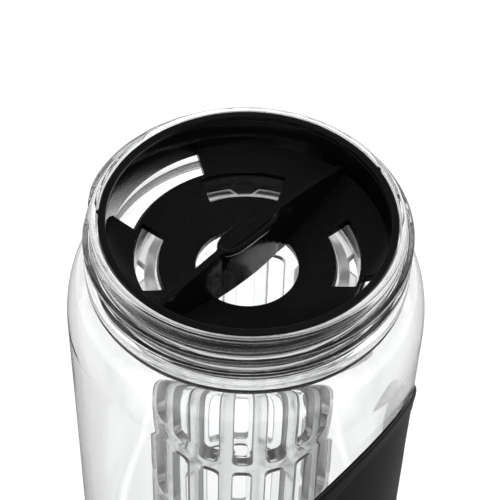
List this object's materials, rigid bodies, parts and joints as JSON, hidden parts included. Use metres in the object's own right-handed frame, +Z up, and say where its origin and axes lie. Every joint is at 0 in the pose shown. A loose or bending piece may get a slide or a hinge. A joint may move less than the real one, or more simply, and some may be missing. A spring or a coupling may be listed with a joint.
{
  "type": "fruit infuser water bottle",
  "caption": "Wide-mouth clear water bottle with a screw neck, side grip pad, black strainer insert in the neck and a slotted fruit infuser basket hung below it.",
  "frame": {"origin": "centre of the bottle's base, on the plane it stands on", "axes": "+Z up along the bottle's axis, -Y towards the viewer of the picture, +X to the viewer's right; the grip pad faces between +X and -Y"},
  "size_m": [0.0853, 0.0852, 0.205],
  "materials": {
    "clear_plastic": "clear, glossy, blown",
    "grip_rubber": "semi-matt moulded elastomer",
    "black_plastic": "black, glossy, moulded",
    "black_silicone": "matt silicone",
    "basket_plastic": "clear, glossy, moulded"
  },
  "bodies": {
    "bottle": {"bottle_body": "clear_plastic", "grip_pad": "grip_rubber"},
    "insert": {"strainer_insert": "black_plastic", "insert_gasket": "black_silicone"},
    "basket": {"infuser_basket": "basket_plastic"}
  },
  "joints": [
    {"name": "insert_lift", "type": "slide", "parent": "bottle", "child": "insert", "axis": [0, 0, 1], "range_m": [0, 0.195]},
    {"name": "basket_twist", "type": "hinge", "parent": "insert", "child": "basket", "pos_m": [0, 0, 0.186], "axis": [0, 0, 1], "range_deg": [0, 45]}
  ]
}
